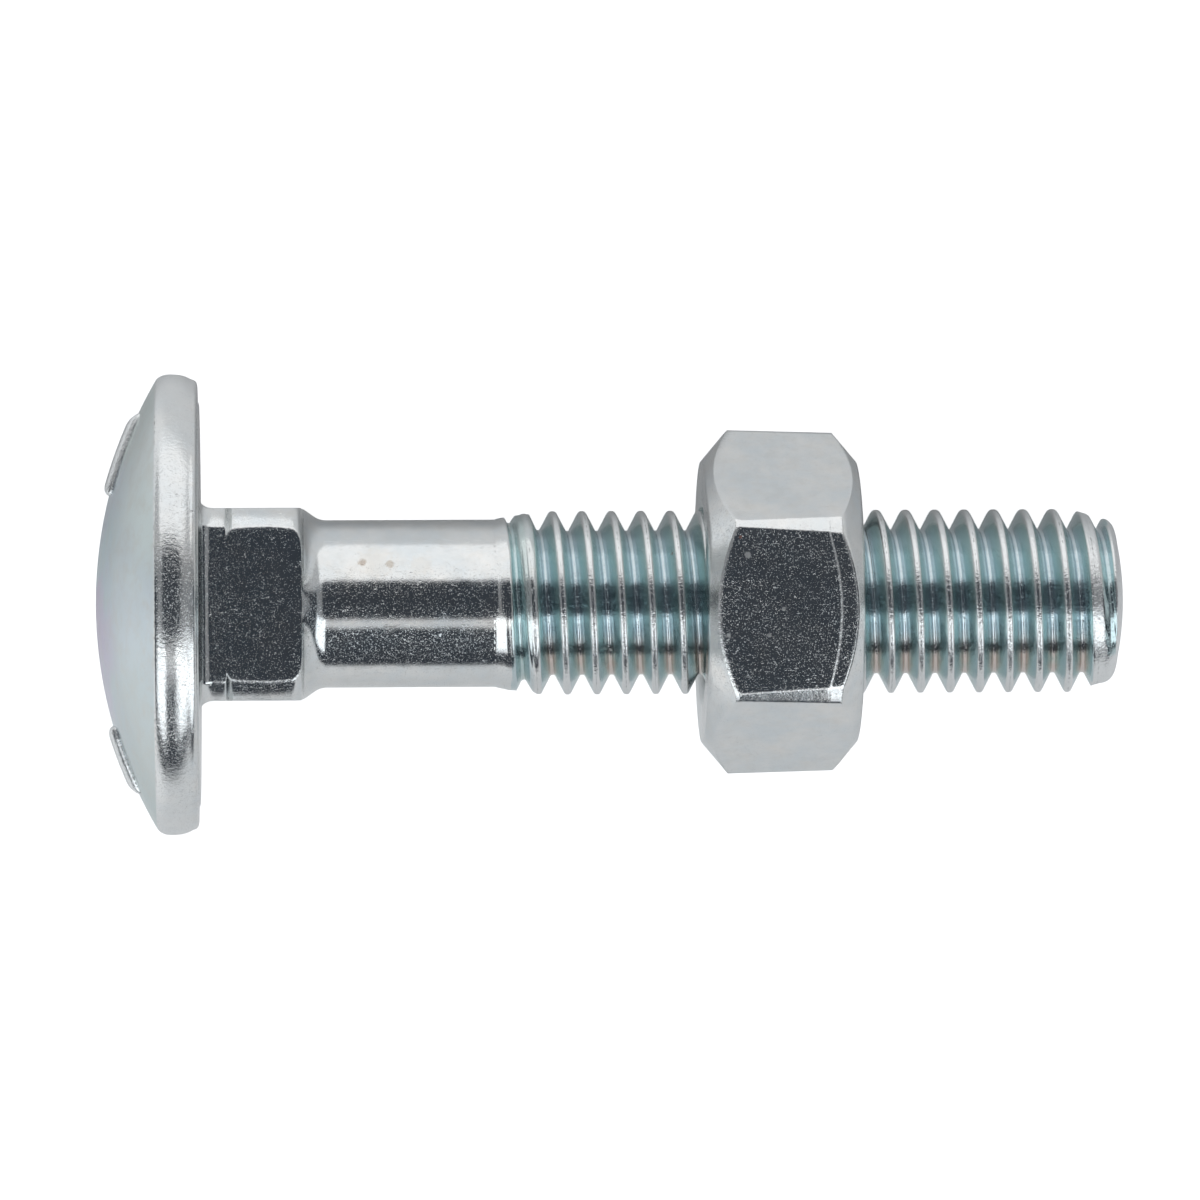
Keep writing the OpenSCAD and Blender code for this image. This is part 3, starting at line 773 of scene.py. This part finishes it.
nut = make_piece("hex_nut", [(*nut_body, nut_values), (*ridge, ridge_values)])


def on_nut(along, aside):
    """A place on the nut's near flat, this far from its face towards the head and to the picture's top."""
    return tuple(AXIS * (NUT_AT + along) + LEVEL * aside + RISE * (NUT_AF / 2))


nut.data.materials.append(zinc_plate("bright zinc plate on the nut", [
    (on_nut(1.6, 2.35), 0.17, "e2e3e2", 0.3, 0.7),
    (on_nut(3.1, 0.1), 0.12, "e2e3e2", 0.3, 0.7),
    (on_nut(2.5, -1.0), 0.13, "e2e3e2", 0.3, 0.6),
    (on_nut(0.8, -1.0), 0.12, "e2e3e2", 0.3, 0.7),
    (on_nut(1.3, 3.1), 0.09, "9a5a48", 0.3, 0.8),
    (on_nut(2.7, -4.4), 0.1, "9a6a58", 0.3, 0.8)]))
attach(nut, "nut")
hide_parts("nut")

# Floor: a sheet of plain matt white paper that keeps the bolt's soft shadow. It glows to the camera, so that
# it reads as white. In reflections its glow fades along a strip beside the bolt, a painted shadow of the
# bolt, and is stronger past the head, a painted pool of light that the dome's edge mirrors. Its sizes are in
# metres.
FLOOR_Z = cad_box[0][2]
FLOOR_HALF = 2.0
FLOOR_SEEN = 0.78
FLOOR_GLOW = 0.19
# Where the painted shadow lies in the reflected glow, and where the painted light past the head begins and
# ends.
DIM_AT_Y = 0.0065
DIM_HALF_W = 0.003
DIM_ENDS = 0.012
LIFT = 0.2
LIFT_FROM_X = -0.006
LIFT_TO_X = -0.025
floor_mesh = bpy.data.meshes.new("floor")
floor_mesh.from_pydata(
    [(FLOOR_HALF * x, FLOOR_HALF * y, FLOOR_Z) for x, y in ((-1, -1), (1, -1), (1, 1), (-1, 1))],
    [], [(0, 1, 2, 3)])
floor = bpy.data.objects.new("floor", floor_mesh)
bpy.context.scene.collection.objects.link(floor)
paper = bpy.data.materials.new("matt white paper")
paper.use_nodes = True
tree = paper.node_tree
tree.nodes.clear()
rays = node(tree, "ShaderNodeLightPath")
reflected = node(tree, "ShaderNodeMath", [
    (0, rays.outputs["Is Glossy Ray"]), (1, rays.outputs["Is Transmission Ray"])], out=0, operation="MAXIMUM")
floor_place = node(tree, "ShaderNodeTexCoord", out="Object")
across = node(tree, "ShaderNodeSeparateXYZ", [("Vector", floor_place)], out="Y")
past_dim = node(tree, "ShaderNodeMath", [(0, across), (1, DIM_AT_Y)], out=0, operation="SUBTRACT")
from_dim = node(tree, "ShaderNodeMath", [(0, past_dim)], out=0, operation="ABSOLUTE")
along = node(tree, "ShaderNodeSeparateXYZ", [("Vector", floor_place)], out="X")
# A painted pool of light on the floor past the head, seen only in reflections.
painted_light_past_head = node(tree, "ShaderNodeMapRange", [
    ("Value", along), ("From Min", LIFT_FROM_X), ("From Max", LIFT_TO_X), ("To Max", LIFT)], out=0)
# A painted shadow: the reflected glow fades to nothing along a strip beside the bolt.
beside = node(tree, "ShaderNodeMapRange", [
    ("Value", from_dim), ("From Min", DIM_HALF_W), ("From Max", DIM_ENDS), ("To Max", FLOOR_GLOW)], out=0)
glow_level = node(tree, "ShaderNodeMath", [(0, beside), (1, painted_light_past_head)], out=0, operation="ADD")
seen = node(tree, "ShaderNodeMath", [
    (0, rays.outputs["Is Camera Ray"]), (1, FLOOR_SEEN)], out=0, operation="MULTIPLY")
strength = node(tree, "ShaderNodeMath", [
    (0, reflected), (1, glow_level), (2, seen)], out=0, operation="MULTIPLY_ADD")
matt = node(tree, "ShaderNodeBsdfDiffuse", [("Color", (0.8, 0.8, 0.8, 1))], out=0)
glow = node(tree, "ShaderNodeEmission", [("Color", (1, 1, 1, 1)), ("Strength", strength)], out=0)
both = node(tree, "ShaderNodeAddShader", [(0, matt), (1, glow)], out=0)
node(tree, "ShaderNodeOutputMaterial", [("Surface", both)])
floor_mesh.materials.append(paper)

# Camera: above the bolt and square to it, at the photograph's angle and distance.
TIP_AWAY = radians(2.362)
ROLL = radians(-0.273)
CAMERA_FAR = 339.7
AIM_STATION = 16.952
AIM_SIDE = 0.115
LENS = 240.2
to_camera = NECK_TOP * cos(TIP_AWAY) - AXIS * sin(TIP_AWAY)
right = AXIS * cos(TIP_AWAY) + NECK_TOP * sin(TIP_AWAY)
image_right = right * cos(ROLL) + NECK_SIDE * sin(ROLL)
image_up = NECK_SIDE * cos(ROLL) - right * sin(ROLL)
aim = AXIS * AIM_STATION + NECK_SIDE * AIM_SIDE
eye = (aim + to_camera * CAMERA_FAR) * MM
camera = bpy.data.objects.new("camera", bpy.data.cameras.new("camera"))
camera.data.sensor_width = 36
camera.data.lens = LENS
camera.data.clip_start = 0.01
camera.data.clip_end = 20
camera.matrix_world = Matrix([*zip(image_right, image_up, to_camera, eye), (0, 0, 0, 1)])
bpy.context.scene.collection.objects.link(camera)
bpy.context.scene.camera = camera

# Light: a large window of softboxes beside the bolt, a strip and two panels on the other side, two dim
# panels off its ends, and a dim room. Lights that overlap as seen from the bolt stand at different
# distances, because a reflection shows only one of two that share a distance.
def softbox(name, angle, spread, tilt_from, tilt_to, distance, radiance, colour=(1, 1, 1)):
    """Area light that faces the bolt. Seen from the bolt it reaches `spread` degrees to either side of an
    angle about its axis, measured from the camera towards the picture's top, and along it from one tilt to
    another. Its power in watts is radiance * area * pi."""
    tilts = [distance * tan(radians(tilt)) for tilt in (tilt_from, tilt_to)]
    data = bpy.data.lights.new(name, "AREA")
    data.shape = "RECTANGLE"
    data.size = tilts[1] - tilts[0]
    data.size_y = 2 * distance * tan(radians(spread))
    data.energy = radiance * data.size * data.size_y * pi
    data.color = colour
    outward = to_camera * cos(radians(angle)) + image_up * sin(radians(angle))
    light = bpy.data.objects.new(name, data)
    across = np.cross(outward, image_right)
    centre = aim * MM + image_right * sum(tilts) / 2 + outward * distance
    columns = zip(image_right, across, outward, centre)
    light.matrix_world = Matrix([*columns, (0, 0, 0, 1)])
    bpy.context.scene.collection.objects.link(light)


PANEL_COLOUR = (0.96, 1, 1.03)
softbox("window_softbox", 62, 30, -42, 42, 0.35, 0.6)
softbox("window_wall", 62, 30, -74, 74, 0.38, 0.45)
softbox("strip_light", -27.5, 6, -25, 25, 0.35, 0.68)
softbox("left_panel", -46.5, 24.5, -60, -11.5, 0.36, 1.5, PANEL_COLOUR)
softbox("right_panel", -46.5, 24.5, 11.5, 60, 0.36, 1.5, PANEL_COLOUR)
softbox("left_end_panel", 5, 27, -60, -27, 0.4, 0.22)
softbox("right_end_panel", 5, 27, 27, 60, 0.4, 0.22)
world = bpy.data.worlds.new("dim studio")
world.use_nodes = True
room = world.node_tree.nodes["Background"]
room.inputs["Color"].default_value = (0.043, 0.05, 0.061, 1)
room.inputs["Strength"].default_value = 1.0
bpy.context.scene.world = world
bpy.context.scene.view_settings.view_transform = "Standard"
